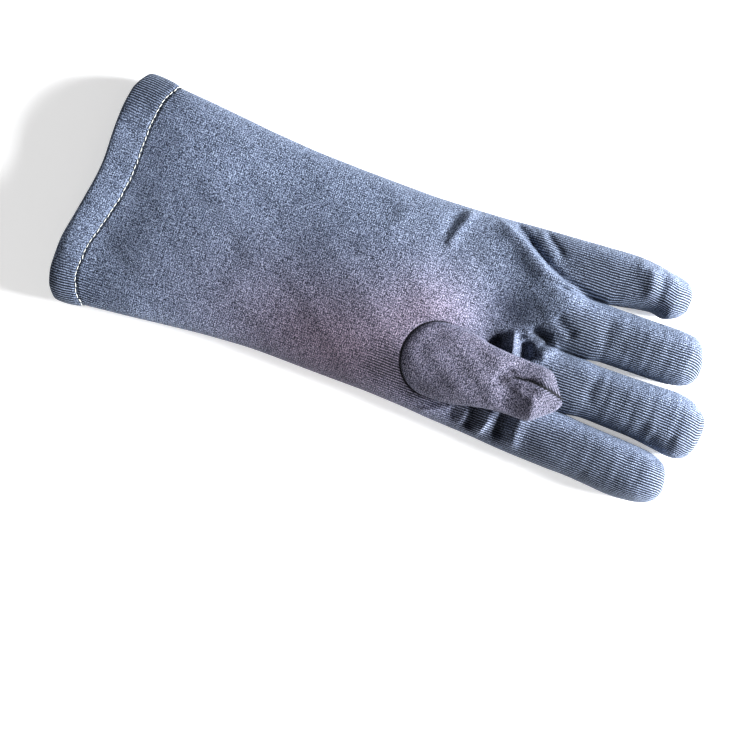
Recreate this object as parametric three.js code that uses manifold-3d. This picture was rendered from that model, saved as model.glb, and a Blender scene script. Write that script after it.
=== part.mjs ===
// A lined gauntlet glove for the right hand, lying palm up with its thumb folded over the palm.
// Millimetres, +Z up. +Y runs from the cuff to the fingertips and +X points to the thumb's side.
// The glove is cut and sewn: a palm panel and a back panel meet in a seam that runs round the
// hand and every finger, the thumb is set into an oval hole in the palm, and the cuff ends in
// a turned hem. Each of the four is a hollow wall of its real thickness.

import * as THREE from "three";
import { mergeVertices } from "three/addons/utils/BufferGeometryUtils.js";
import Module from "manifold-3d";

// Driving dimensions
const bodyLength = 302; // cuff datum to the line where the fingers part
const cuffWidth = 142;
const wristWidth = 120.5;
const cuffHeight = 34; // top of the mouth above the table
const wristHeight = 28;
const palmHeight = 31;
const fingerHeight = 24;
const seamHeight = 9.5; // side seam above the table
const cuffSeamHeight = 14;
const wall = 2.2; // knit cover, leaded sheet and backing together
const seamGap = 0.3;
const webRun = 46; // how far the valleys between the fingers reach into the palm
const tipRound = 17; // length over which a fingertip rounds down to its seam

const hemDepth = 18; // free edge to stitch line
const hemWall = 3.4; // the turned cloth doubles the wall's cover
const hemProud = 0.6; // how far the hem stands out of the gauntlet
const cuffWave = 10; // height of the wave in the cuff's edge

const foldDepth = 4; // the deepest fold in the palm
const foldSpread = 5; // half the width of a fold

const thumbRootWidth = 46;
const thumbRootLength = 40; // the oval hole, along the glove
const thumbRootAcross = 28; // centre of the hole from the glove's midline
const thumbRootBack = 83; // centre of the hole back from the line where the fingers part
const thumbReach = 56; // far side of the hole to the thumb's tip
const thumbHeight = 19.5;
const thumbClearance = 0.9; // thumb's underside above the palm

// Fingers from the little finger to the index finger. A length runs from the line where the
// fingers part to the tip.
const FINGERS = [
  { name: "little", width: 32.5, length: 47 },
  { name: "ring", width: 34.5, length: 65.5 },
  { name: "middle", width: 34, length: 78.5 },
  { name: "index", width: 33.5, length: 67.5 },
];

// Outlines of the fingers seen from above, as the little finger's and so on. "at" is a share
// of the finger's length, left and right are shares of its width from its own midline.
const FINGER_OUTLINES = {
  little: [
    { at: 0, left: -0.5, right: 0.5 },
    { at: 0.2, left: -0.51, right: 0.45 },
    { at: 0.42, left: -0.49, right: 0.39 },
    { at: 0.6, left: -0.44, right: 0.36 },
    { at: 0.75, left: -0.405, right: 0.4 },
    { at: 0.87, left: -0.36, right: 0.34 },
    { at: 0.95, left: -0.27, right: 0.24 },
    { at: 1, left: -0.12, right: 0.14 },
  ],
  ring: [
    { at: 0, left: -0.5, right: 0.5 },
    { at: 0.15, left: -0.495, right: 0.455 },
    { at: 0.4, left: -0.5, right: 0.45 },
    { at: 0.7, left: -0.505, right: 0.44 },
    { at: 0.84, left: -0.485, right: 0.405 },
    { at: 0.92, left: -0.4, right: 0.35 },
    { at: 0.97, left: -0.24, right: 0.26 },
    { at: 1, left: -0.04, right: 0.13 },
  ],
  middle: [
    { at: 0, left: -0.5, right: 0.5 },
    { at: 0.12, left: -0.475, right: 0.465 },
    { at: 0.3, left: -0.475, right: 0.48 },
    { at: 0.5, left: -0.485, right: 0.5 },
    { at: 0.7, left: -0.5, right: 0.56 },
    { at: 0.84, left: -0.455, right: 0.6 },
    { at: 0.92, left: -0.35, right: 0.55 },
    { at: 0.97, left: -0.26, right: 0.4 },
    { at: 1, left: -0.14, right: 0.12 },
  ],
  index: [
    { at: 0, left: -0.5, right: 0.5 },
    { at: 0.15, left: -0.465, right: 0.505 },
    { at: 0.35, left: -0.44, right: 0.535 },
    { at: 0.6, left: -0.41, right: 0.575 },
    { at: 0.78, left: -0.375, right: 0.55 },
    { at: 0.88, left: -0.32, right: 0.5 },
    { at: 0.95, left: -0.22, right: 0.42 },
    { at: 1, left: 0.04, right: 0.26 },
  ],
};

// Sections of the gauntlet and palm. "at" is a share of bodyLength. Width grows from the
// wrist's by the shares flare, towards the cuff's, and spread, towards the knuckles'. Height
// grows from the wrist's by mouth, heel and thin, towards the cuff's, palm's and fingers'.
// "shift" moves the section sideways, as a share of wristWidth.
const BODY_SECTIONS = [
  { at: 0.0, flare: 1.0, spread: 0.0, shift: -0.017, mouth: 1.0, heel: 0.0, thin: 0.0 },
  { at: 0.06, flare: 0.83, spread: 0.0, shift: -0.017, mouth: 0.2, heel: 0.0, thin: 0.0 },
  { at: 0.15, flare: 0.6, spread: 0.0, shift: -0.018, mouth: 0.7, heel: 0.0, thin: 0.0 },
  { at: 0.22, flare: 0.4, spread: 0.0, shift: -0.019, mouth: 0.5, heel: 0.0, thin: 0.0 },
  { at: 0.3, flare: 0.18, spread: 0.0, shift: -0.018, mouth: 0.2, heel: 0.0, thin: 0.0 },
  { at: 0.4, flare: 0.02, spread: 0.0, shift: -0.015, mouth: 0.0, heel: 0.1, thin: 0.0 },
  { at: 0.5, flare: 0.0, spread: 0.0, shift: -0.008, mouth: 0.0, heel: 0.7, thin: 0.0 },
  { at: 0.6, flare: 0.0, spread: 0.0, shift: -0.004, mouth: 0.0, heel: 1.05, thin: 0.0 },
  { at: 0.69, flare: 0.0, spread: 0.13, shift: -0.001, mouth: 0.0, heel: 0.75, thin: 0.0 },
  { at: 0.75, flare: 0.0, spread: 0.3, shift: 0.002, mouth: 0.0, heel: 0.5, thin: 0.0 },
  { at: 0.83, flare: 0.0, spread: 0.54, shift: 0.0, mouth: 0.0, heel: 0.2, thin: 0.05 },
  { at: 0.91, flare: 0.0, spread: 0.79, shift: 0.002, mouth: 0.0, heel: 0.0, thin: 0.35 },
  { at: 1.0, flare: 0.0, spread: 1.0, shift: 0.0, mouth: 0.0, heel: 0.0, thin: 1.0 },
];

// The cuff's edge and stitch line across the glove, where -1 and 1 are the side seams. "palm"
// and "back" are shares of cuffWave, and "depth" is a share of hemDepth.
const CUFF_EDGE = [
  { at: -1, palm: 0.8, back: 0.8, depth: 1.08 },
  { at: -0.8, palm: 0.35, back: 0.7, depth: 1.08 },
  { at: -0.55, palm: 0.25, back: 0.6, depth: 1.04 },
  { at: -0.25, palm: 0.26, back: 0.45, depth: 1.02 },
  { at: 0, palm: 0.14, back: 0.3, depth: 1.0 },
  { at: 0.3, palm: -0.18, back: 0.15, depth: 0.93 },
  { at: 0.55, palm: -0.52, back: 0.0, depth: 0.86 },
  { at: 0.75, palm: -0.6, back: -0.05, depth: 0.84 },
  { at: 0.9, palm: -0.45, back: -0.1, depth: 0.88 },
  { at: 1, palm: -0.1, back: -0.1, depth: 0.94 },
];

// Folds and dents of the palm, each along a straight line. "across" is a share of half the
// section's width, "along" a share of bodyLength, "lift" a share of foldDepth (a valley is
// negative) and "spread" a share of foldSpread.
const FOLDS = [
  // the roll where the little finger tucks under the palm, with a valley on each side
  { across: -0.97, along: 0.785, toAcross: -0.72, toAlong: 0.85, lift: 0.85, spread: 0.9 },
  { across: -0.72, along: 0.85, toAcross: -0.56, toAlong: 0.95, lift: 0.85, spread: 0.9 },
  { across: -0.86, along: 0.85, toAcross: -0.62, toAlong: 0.94, lift: -0.7, spread: 0.9 },
  { across: -0.86, along: 0.77, toAcross: -0.6, toAlong: 0.84, lift: -0.45, spread: 1.1 },
  // shallow dents of the heel
  { across: -0.96, along: 0.69, toAcross: -0.6, toAlong: 0.675, lift: -0.3, spread: 0.9 },
  { across: -0.9, along: 0.715, toAcross: -0.6, toAlong: 0.705, lift: 0.2, spread: 1.0 },
  // the pocket beside the thumb, crossed by one crest
  { across: -0.06, along: 0.94, toAcross: 0.12, toAlong: 0.82, lift: -1.0, spread: 1.1 },
  { across: 0.0, along: 0.872, toAcross: 0.2, toAlong: 0.872, lift: 0.6, spread: 0.8 },
  // the hollow of the hand
  { across: -0.3, along: 0.8, toAcross: -0.14, toAlong: 0.825, lift: -1.3, spread: 4.4 },
  // the swell of the palm at the thumb's root
  { across: 0.0, along: 0.68, toAcross: 0.14, toAlong: 0.71, lift: 0.5, spread: 3.2 },
  // ruffles between the thumb and the index finger
  { across: 0.66, along: 0.888, toAcross: 0.95, toAlong: 0.89, lift: -1.1, spread: 0.8 },
  { across: 0.66, along: 0.86, toAcross: 0.95, toAlong: 0.857, lift: 0.6, spread: 0.7 },
  { across: 0.66, along: 0.84, toAcross: 0.93, toAlong: 0.838, lift: -0.85, spread: 0.7 },
  { across: 0.7, along: 0.8, toAcross: 0.93, toAlong: 0.8, lift: -0.4, spread: 0.6 },
  // the sag in the middle of the cuff
  { across: -0.13, along: -0.05, toAcross: -0.13, toAlong: 0.18, lift: -0.6, spread: 2.8 },
];

// Stations of the thumb, which leaves its hole upwards and folds over towards the fingers.
// "under" is where the underside lies and "over" where the top lies, as shares of thumbReach
// measured from the far side of the hole. "rise" is the top's height and "lower" the
// underside's, as shares of thumbHeight. left and right are shares of thumbRootWidth from the
// hole's midline. "hug" is how far the station follows the palm's own slope.
const THUMB_STATIONS = [
  { under: 0.002, over: -0.62, rise: 0.14, lower: 0.03, left: -0.503, right: 0.503, hug: 1 },
  { under: 0.015, over: -0.5, rise: 0.32, lower: 0.06, left: -0.505, right: 0.505, hug: 0.9 },
  { under: 0.04, over: -0.34, rise: 0.57, lower: 0.07, left: -0.5, right: 0.5, hug: 0.75 },
  { under: 0.08, over: -0.14, rise: 0.83, lower: 0.07, left: -0.465, right: 0.475, hug: 0.5 },
  { under: 0.15, over: 0.08, rise: 1.0, lower: 0.05, left: -0.405, right: 0.435, hug: 0.25 },
  { under: 0.28, over: 0.26, rise: 1.03, lower: 0.03, left: -0.375, right: 0.395, hug: 0.1 },
  { under: 0.43, over: 0.43, rise: 1.02, lower: 0.02, left: -0.365, right: 0.375, hug: 0 },
  { under: 0.58, over: 0.59, rise: 1.0, lower: 0.02, left: -0.355, right: 0.372, hug: 0 },
  { under: 0.7, over: 0.715, rise: 0.96, lower: 0.03, left: -0.348, right: 0.365, hug: 0 },
  { under: 0.79, over: 0.805, rise: 0.88, lower: 0.07, left: -0.315, right: 0.28, hug: 0 },
  { under: 0.865, over: 0.88, rise: 0.78, lower: 0.14, left: -0.21, right: 0.2, hug: 0 },
  { under: 0.935, over: 0.945, rise: 0.66, lower: 0.24, left: -0.1, right: 0.13, hug: 0 },
];

// Fineness of the facets
const palmColumns = 8; // across each finger of the palm panel
const palmRows = 26; // from the stitch line to the fingers
const backColumns = 6;
const backRows = 12;
const rowCrowding = 0.45; // how much closer the rows lie at the fingers than at the cuff
const fingerRows = [0.1, 0.25, 0.42, 0.58, 0.72, 0.82, 0.89, 0.945, 0.98, 1];
const thumbSides = 24;

const archPower = 2.5; // roundness of the palm's section
const fingerPower = 2.15;
const flatPower = 4.5; // the underside lies flat over most of its width
const flatSpread = 1.04;
const closingPower = 2.3; // roundness of the fingertips
const thumbPower = 2.5; // fullness of the thumb's section, which is an ellipse at its root

const clamp = (value, low, high) => Math.min(high, Math.max(low, value));
const mix = (a, b, share) => a + (b - a) * share;
const smooth = (share) => share * share * (3 - 2 * share);
const total = (values) => values.reduce((sum, value) => sum + value, 0);
// Height of a rounded section at t, which is -1 and 1 at its two edges.
const arch = (t, power) => Math.max(0, 1 - Math.abs(t) ** power) ** (1 / power);

// A smooth curve through one column of a table, by its "at", that never overshoots a row.
function curveOf(rows, column) {
  const at = rows.map((row) => row.at);
  const value = rows.map((row) => row[column]);
  const chord = (i) => (value[i + 1] - value[i]) / (at[i + 1] - at[i]);
  const last = rows.length - 1;
  const slope = rows.map((row, i) => {
    if (i === 0) return chord(0);
    if (i === last) return chord(last - 1);
    const before = chord(i - 1);
    const after = chord(i);
    return before * after <= 0 ? 0 : (2 * before * after) / (before + after);
  });
  return (place) => {
    const p = clamp(place, at[0], at[last]);
    let i = 0;
    while (i < last - 1 && p > at[i + 1]) i++;
    const h = at[i + 1] - at[i];
    const s = (p - at[i]) / h;
    const ease = smooth(s);
    const lean = s * (1 - s) * h;
    return mix(value[i], value[i + 1], ease) + lean * ((1 - s) * slope[i] - s * slope[i + 1]);
  };
}

// The hand's plan and sections
const knuckleWidth = total(FINGERS.map((finger) => finger.width));
const flare = curveOf(BODY_SECTIONS, "flare");
const spread = curveOf(BODY_SECTIONS, "spread");
const shift = curveOf(BODY_SECTIONS, "shift");
const mouth = curveOf(BODY_SECTIONS, "mouth");
const heel = curveOf(BODY_SECTIONS, "heel");
const thin = curveOf(BODY_SECTIONS, "thin");

const widthAt = (y) =>
  wristWidth +
  flare(y / bodyLength) * (cuffWidth - wristWidth) +
  spread(y / bodyLength) * (knuckleWidth - wristWidth);
const middleAt = (y) => shift(y / bodyLength) * wristWidth;
const heightAt = (y) =>
  wristHeight +
  mouth(y / bodyLength) * (cuffHeight - wristHeight) +
  heel(y / bodyLength) * (palmHeight - wristHeight) +
  thin(y / bodyLength) * (fingerHeight - wristHeight);
const seamAt = (y) => mix(seamHeight, cuffSeamHeight, flare(y / bodyLength));
// 0 in the open palm and 1 on the line where the fingers part
const webAt = (y) => smooth(clamp((y - bodyLength + webRun) / webRun, 0, 1));

// Each finger's place on the parting line, as the section's own -1 to 1
const rootEdges = FINGERS.map((finger, i) => {
  const before = total(FINGERS.slice(0, i).map((other) => other.width));
  const edge = (width) => (2 * width) / knuckleWidth - 1;
  return { left: edge(before), right: edge(before + finger.width) };
});
const fingerAcross = (t) => {
  const i = rootEdges.findIndex((edge) => t <= edge.right);
  const { left, right } = rootEdges[i < 0 ? FINGERS.length - 1 : i];
  return (2 * (t - left)) / (right - left) - 1;
};

function foldsAt(t, y) {
  const half = widthAt(y) / 2;
  return total(
    FOLDS.map((fold) => {
      const from = new THREE.Vector2(fold.across * half, fold.along * bodyLength);
      const to = new THREE.Vector2(fold.toAcross * half, fold.toAlong * bodyLength);
      const run = to.sub(from);
      const place = new THREE.Vector2(t * half, y).sub(from);
      const share = clamp(place.dot(run) / run.lengthSq(), 0, 1);
      const away = place.addScaledVector(run, -share).length() / (fold.spread * foldSpread);
      return fold.lift * foldDepth * Math.exp(-away * away);
    }),
  );
}

// Height of the palm side and of the back at t across the section y
function palmZ(t, y) {
  const seam = seamAt(y);
  const open = (heightAt(y) - seam) * arch(t, archPower);
  const fingers = (fingerHeight - seam) * arch(fingerAcross(t), fingerPower);
  const rise = mix(open, fingers, webAt(y));
  return seam + rise + (foldsAt(t, y) * rise) / (rise + wall);
}
const flat = (t) => Math.min(1, flatSpread * arch(t, flatPower));
function backZ(t, y) {
  return seamAt(y) * (1 - mix(flat(t), flat(fingerAcross(t)), webAt(y)));
}
const acrossAt = (x, y) => clamp((x - middleAt(y)) / (widthAt(y) / 2), -1, 1);
const palmTop = (x, y) => palmZ(acrossAt(x, y), y);

const edgeWave = { palm: curveOf(CUFF_EDGE, "palm"), back: curveOf(CUFF_EDGE, "back") };
const hemShare = curveOf(CUFF_EDGE, "depth");
const edgeY = (side, t) => edgeWave[side](t) * cuffWave;
const stitchY = (side, t) => edgeY(side, t) + hemShare(t) * hemDepth;

// Place of column j of a panel across the section: in the open palm the columns are even and
// crowd only towards the side seams, and at the fingers they crowd at both edges of each one.
function columnPlace(j, columns, web) {
  const last = columns * FINGERS.length;
  const i = Math.min(FINGERS.length - 1, Math.floor(j / columns));
  const { left, right } = rootEdges[i];
  const s = j / columns - i;
  const even =
    i === 0 && j < columns
      ? 1 - Math.cos((Math.PI / 2) * s)
      : i === FINGERS.length - 1 && j < last
        ? Math.sin((Math.PI / 2) * s)
        : s;
  const crowded = (1 - Math.cos(Math.PI * s)) / 2;
  return mix(left, right, mix(even, crowded, web));
}

// One cloth panel as a thick shell: rows of the body, then rows of each finger on its own.
function panel(side, columns, bodyRows) {
  const sign = side === "palm" ? 1 : -1;
  const bodyZ = side === "palm" ? palmZ : backZ;
  const points = [];
  const quads = [];
  const seamPoints = new Set();
  const last = columns * FINGERS.length;
  const put = (x, y, z) => points.push(new THREE.Vector3(x, y, z)) - 1;

  const rows = [];
  for (let r = 0; r <= bodyRows; r++) {
    const row = [];
    const along = (r / bodyRows) * (1 + rowCrowding * (1 - r / bodyRows));
    for (let j = 0; j <= last; j++) {
      const start = stitchY(side, columnPlace(j, columns, 0)) + seamGap / 2;
      const y = mix(start, bodyLength, along);
      const t = columnPlace(j, columns, webAt(y));
      const parting = r === bodyRows && j % columns === 0;
      row.push(put(middleAt(y) + (t * widthAt(y)) / 2, y, parting ? seamAt(y) : bodyZ(t, y)));
      if (j === 0 || j === last || parting) seamPoints.add(row[j]);
    }
    rows.push(row);
  }
  const cuffPoints = new Set(rows[0]);
  const join = (low, high) => {
    for (let j = 0; j + 1 < low.length; j++) quads.push([low[j], low[j + 1], high[j + 1], high[j]]);
  };
  for (let r = 0; r < bodyRows; r++) join(rows[r], rows[r + 1]);

  FINGERS.forEach((finger, i) => {
    const outline = FINGER_OUTLINES[finger.name];
    const leftAt = curveOf(outline, "left");
    const rightAt = curveOf(outline, "right");
    const { left, right } = rootEdges[i];
    const midline = middleAt(bodyLength) + ((left + right) * knuckleWidth) / 4;
    let low = rows[bodyRows].slice(i * columns, (i + 1) * columns + 1);
    for (const share of fingerRows) {
      const y = bodyLength + share * finger.length;
      const toTip = (1 - share) * finger.length;
      const closing = toTip < tipRound ? arch(1 - toTip / tipRound, closingPower) : 1;
      const high = [];
      for (let j = 0; j <= columns; j++) {
        const s = (1 - Math.cos((Math.PI * j) / columns)) / 2;
        const x = midline + finger.width * mix(leftAt(share), rightAt(share), s);
        const t = 2 * s - 1;
        const z =
          side === "palm"
            ? seamHeight + (fingerHeight - seamHeight) * closing * arch(t, fingerPower)
            : seamHeight * (1 - closing * flat(t));
        high.push(put(x, y, z));
        if (j === 0 || j === columns || share === 1) seamPoints.add(high[j]);
      }
      join(low, high);
      low = high;
    }
  });
  for (const k of seamPoints) points[k].z += (sign * seamGap) / 2;

  // The inside keeps the cuff's edge square and stays on its own side of the seam.
  const outer = trianglesOf(quads, sign);
  const normals = normalsOf(points, outer);
  const inner = points.map((point, k) => {
    if (seamPoints.has(k)) normals[k].z = 0;
    if (cuffPoints.has(k)) normals[k].y = 0;
    const inside = point.clone().addScaledVector(normals[k].normalize(), -wall);
    const seam = seamAt(point.y) + (sign * seamGap) / 2;
    inside.z = sign * Math.max(sign * inside.z, sign * seam);
    return inside;
  });
  return shellOf(points, inner, outer);
}

// Triangles of a list of quads, turned over where sign is negative.
function trianglesOf(quads, sign) {
  return quads.flatMap(([a, b, c, d]) =>
    sign > 0 ? [[a, b, c], [a, c, d]] : [[a, c, b], [a, d, c]],
  );
}

// Unit normals at the points of a surface, each the sum of its triangles' normals.
function normalsOf(points, triangles) {
  const normals = points.map(() => new THREE.Vector3());
  for (const [a, b, c] of triangles) {
    const side = points[b].clone().sub(points[a]);
    const face = side.cross(points[c].clone().sub(points[a]));
    for (const k of [a, b, c]) normals[k].add(face);
  }
  return normals.map((normal) => normal.normalize());
}

// A closed shell: the outer surface, the inner one, and a strip along every open edge.
function shellOf(points, inner, outer) {
  const count = points.length;
  const triangles = [...outer, ...outer.map(([a, b, c]) => [a + count, c + count, b + count])];
  const open = new Map();
  for (const [a, b, c] of outer)
    for (const [p, q] of [[a, b], [b, c], [c, a]]) {
      if (!open.delete(`${q} ${p}`)) open.set(`${p} ${q}`, [p, q]);
    }
  for (const [p, q] of open.values())
    triangles.push([q, p, p + count], [q, p + count, q + count]);
  return geometryOf([...points, ...inner], triangles);
}

function geometryOf(points, triangles) {
  const geometry = new THREE.BufferGeometry();
  geometry.setAttribute(
    "position",
    new THREE.Float32BufferAttribute(points.flatMap((point) => point.toArray()), 3),
  );
  geometry.setIndex(triangles.flat());
  return geometry;
}

// The turned hem: a loop of the cuff's section, rounded over at its free edge.
function hem() {
  const columns = palmColumns;
  const last = columns * FINGERS.length;
  const loop = [];
  for (let j = 0; j <= last; j++) loop.push({ side: "palm", t: columnPlace(j, columns, 0) });
  for (let j = last - 1; j > 0; j--) loop.push({ side: "back", t: columnPlace(j, columns, 0) });

  const sectionPoint = ({ side, t }, y) => {
    const z = Math.abs(t) === 1 ? seamAt(y) : side === "palm" ? palmZ(t, y) : backZ(t, y);
    return new THREE.Vector3(middleAt(y) + (t * widthAt(y)) / 2, y, z);
  };
  const inside = hemWall - hemProud;
  const fold = hemWall / 2;
  const core = (hemProud - inside) / 2; // middle of the hem's thickness
  const bends = [90, 45, 0, -45, -90].map((degrees) => THREE.MathUtils.degToRad(degrees));

  const points = [];
  loop.forEach((place, k) => {
    const edge = edgeY(place.side, place.t) + fold;
    const stitch = stitchY(place.side, place.t) - seamGap / 2;
    const before = loop[(k + loop.length - 1) % loop.length];
    const after = loop[(k + 1) % loop.length];
    const profile = [
      { y: stitch, out: hemProud },
      ...bends.map((bend) => ({
        y: edge - fold * Math.cos(bend),
        out: core + fold * Math.sin(bend),
      })),
      { y: stitch, out: -inside },
    ];
    for (const { y, out } of profile) {
      const along = sectionPoint(after, y).sub(sectionPoint(before, y));
      const normal = new THREE.Vector3(-along.z, 0, along.x).normalize();
      const point = sectionPoint(place, y).addScaledVector(normal, out);
      point.z = Math.max(point.z, 0);
      points.push(point);
    }
  });
  const steps = bends.length + 2;
  const quads = [];
  for (let k = 0; k < loop.length; k++)
    for (let i = 0; i < steps; i++) {
      const next = (k + 1) % loop.length;
      const up = (i + 1) % steps;
      quads.push([k * steps + i, k * steps + up, next * steps + up, next * steps + i]);
    }
  return geometryOf(points, trianglesOf(quads, 1));
}

// Points round the thumb's oval hole, widened by a margin, as [x, y] pairs.
function thumbOval(margin) {
  const oval = [];
  for (let k = 0; k < thumbSides; k++) {
    const angle = (2 * Math.PI * k) / thumbSides;
    const x = thumbRootAcross + (thumbRootWidth / 2 + margin) * Math.cos(angle);
    const y = bodyLength - thumbRootBack - (thumbRootLength / 2 + margin) * Math.sin(angle);
    oval.push([x, y]);
  }
  return oval;
}

// The thumb: rings from the hole's rim to the tip, then the same rings set inwards. The rim
// drops straight down through the palm's wall.
function thumb() {
  const rim = thumbOval(0).map(([x, y]) => new THREE.Vector3(x, y, palmTop(x, y)));
  const hinge = bodyLength - thumbRootBack + thumbRootLength / 2;
  const crest = palmTop(thumbRootAcross, hinge);
  // highest point of the palm under the thumb at y
  const bedAt = (y) => {
    const reach = thumbRootWidth * 0.4;
    const places = [-1, -0.75, -0.5, -0.25, 0, 0.25, 0.5, 0.75, 1];
    return Math.max(...places.map((share) => palmTop(thumbRootAcross + share * reach, y)));
  };
  const rings = [rim];
  const rounded = (value, power) => Math.sign(value) * Math.abs(value) ** (2 / power);
  THUMB_STATIONS.forEach((station, i) => {
    const power = mix(2, thumbPower, i / (THUMB_STATIONS.length - 1));
    const underY = hinge + station.under * thumbReach;
    const overY = hinge + station.over * thumbReach;
    const bed = mix(bedAt(underY), crest, station.hug) + thumbClearance;
    const underZ = bed + station.lower * thumbHeight;
    const overZ = bed + station.rise * thumbHeight;
    const half = ((station.right - station.left) * thumbRootWidth) / 2;
    const centre = thumbRootAcross + ((station.right + station.left) * thumbRootWidth) / 2;
    rings.push(
      rim.map((root, k) => {
        const angle = (2 * Math.PI * k) / thumbSides;
        const share = (1 + rounded(Math.sin(angle), power)) / 2; // 0 underneath and 1 on top
        return new THREE.Vector3(
          centre + half * rounded(Math.cos(angle), power),
          mix(underY, overY, share),
          mix(underZ, overZ, share) + station.hug * (root.z - crest),
        );
      }),
    );
  });
  const tip = THUMB_STATIONS[THUMB_STATIONS.length - 1];
  const outer = rings.flat();
  outer.push(
    new THREE.Vector3(
      thumbRootAcross + ((tip.left + tip.right) * thumbRootWidth) / 2,
      hinge + thumbReach,
      bedAt(hinge + thumbReach) + thumbClearance + ((tip.rise + tip.lower) * thumbHeight) / 2,
    ),
  );

  const skin = [];
  const n = thumbSides;
  const end = (rings.length - 1) * n;
  for (let k = 0; k < n; k++) {
    const next = (k + 1) % n;
    for (let low = 0; low < end; low += n)
      skin.push([low + k, low + n + next, low + next], [low + k, low + n + k, low + n + next]);
    skin.push([end + k, outer.length - 1, end + next]);
  }

  const foot = rim.map((point) => point.clone().setZ(point.z - wall));
  const below = outer.length;
  outer.push(...foot);
  for (let k = 0; k < n; k++) {
    const next = (k + 1) % n;
    skin.push([k, next, below + next], [k, below + next, below + k]);
  }
  const normals = normalsOf(outer, skin);
  const inner = outer.map((point, k) => {
    const level = k < n || k >= below;
    if (level) normals[k].setZ(0).normalize();
    return point.clone().addScaledVector(normals[k], -wall);
  });
  return shellOf(outer, inner, skin);
}

// The palm panel with the thumb's hole cut through it.
const wasm = await Module();
wasm.setup();

function solidOf(geometry) {
  const bare = geometry.clone();
  for (const name of Object.keys(bare.attributes))
    if (name !== "position") bare.deleteAttribute(name);
  const merged = mergeVertices(bare, 1e-4);
  return new wasm.Manifold(
    new wasm.Mesh({
      numProp: 3,
      vertProperties: new Float32Array(merged.attributes.position.array),
      triVerts: new Uint32Array(merged.index.array),
    }),
  );
}

function geometryFrom(solid) {
  const { vertProperties, triVerts } = solid.getMesh();
  const geometry = new THREE.BufferGeometry();
  geometry.setAttribute("position", new THREE.BufferAttribute(vertProperties, 3));
  geometry.setIndex(new THREE.BufferAttribute(triVerts, 1));
  return geometry;
}

function palmPanel() {
  const outline = new THREE.Shape(thumbOval(seamGap).map(([x, y]) => new THREE.Vector2(x, y)));
  const cutter = new THREE.ExtrudeGeometry(outline, { depth: palmHeight, bevelEnabled: false });
  cutter.translate(0, 0, palmHeight / 2);
  return geometryFrom(solidOf(panel("palm", palmColumns, palmRows)).subtract(solidOf(cutter)));
}

// The glove, moved so that the origin is the middle of its footprint on the table
const knit = new THREE.Color().setRGB(0.41, 0.45, 0.54, THREE.SRGBColorSpace);
const shade = new THREE.Color().setRGB(0.38, 0.41, 0.5, THREE.SRGBColorSpace);

function piece(name, geometry, color) {
  geometry.computeVertexNormals();
  const material = new THREE.MeshStandardMaterial({ color, roughness: 0.75, metalness: 0 });
  const mesh = new THREE.Mesh(geometry, material);
  mesh.name = name;
  return mesh;
}

const glove = new THREE.Group();
glove.add(
  piece("palm_panel", palmPanel(), knit),
  piece("back_panel", panel("back", backColumns, backRows), knit),
  piece("thumb", thumb(), shade),
  piece("cuff_hem", hem(), knit),
);
const footprint = new THREE.Box3().setFromObject(glove, true);
const middle = footprint.getCenter(new THREE.Vector3());
glove.position.set(-middle.x, -middle.y, -footprint.min.z);

export default glove;
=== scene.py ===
"""A lined gauntlet glove for the right hand, lying palm up on a pale table.

The knit cover is four pieces, sewn together: a palm panel, a back panel, a thumb set into an
oval hole in the palm, and a turned hem at the cuff. Surfaces are worked out in millimetres in
the glove's own frame, with y from the cuff's datum towards the fingertips and x towards the
thumb's side, and are put into the frame in metres.
"""
import math

import bpy
import numpy as np
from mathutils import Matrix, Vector


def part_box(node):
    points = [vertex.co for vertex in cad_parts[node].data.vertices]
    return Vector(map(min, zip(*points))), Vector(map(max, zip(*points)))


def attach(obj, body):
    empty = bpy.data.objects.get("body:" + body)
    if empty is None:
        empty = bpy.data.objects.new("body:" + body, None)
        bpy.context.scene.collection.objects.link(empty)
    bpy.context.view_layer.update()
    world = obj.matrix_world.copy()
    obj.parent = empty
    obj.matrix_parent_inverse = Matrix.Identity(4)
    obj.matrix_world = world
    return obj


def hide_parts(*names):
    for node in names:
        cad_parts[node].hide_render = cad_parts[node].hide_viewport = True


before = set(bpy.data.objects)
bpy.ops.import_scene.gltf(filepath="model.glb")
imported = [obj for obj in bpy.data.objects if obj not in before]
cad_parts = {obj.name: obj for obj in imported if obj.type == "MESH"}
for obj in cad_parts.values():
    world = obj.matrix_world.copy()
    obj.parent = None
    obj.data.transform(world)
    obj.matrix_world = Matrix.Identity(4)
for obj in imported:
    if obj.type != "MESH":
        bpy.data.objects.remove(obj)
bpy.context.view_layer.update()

# Palm panel
# The knit cover of the gauntlet's front, the palm and the fronts of the fingers, cut in one
# piece over leaded sheet. It is laid over the hand's hollow and sewn to the back all round.

body_length = 302  # cuff datum to the line where the fingers part
cuff_width = 142
wrist_width = 120.5
cuff_height = 32.5
wrist_height = 28
palm_height = 31
finger_height = 25.5
seam_height = 9.5
cuff_seam_height = 14
wall = 2.2
seam_gap = 0.3
seam_sink = 0.45  # how deep the thumb's seam draws the cloth down
seam_sink_reach = 1.1
web_run = 46  # over which the palm turns into the fingers' four arches
tip_round = 17  # over which a fingertip closes
hem_depth = 18
cuff_wave = 10  # how far the cuff's edge swings to and fro

# Powers of the superellipses: 2 is an ellipse, and more is squarer
palm_roundness = 2.5
finger_roundness = 2.15
tip_roundness = 2.3
back_squareness = 4.5


def table(columns, rows):
    """A table of numbers, as one array for each named column."""
    return dict(zip(columns.split(), np.array(rows, float).T))


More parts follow.
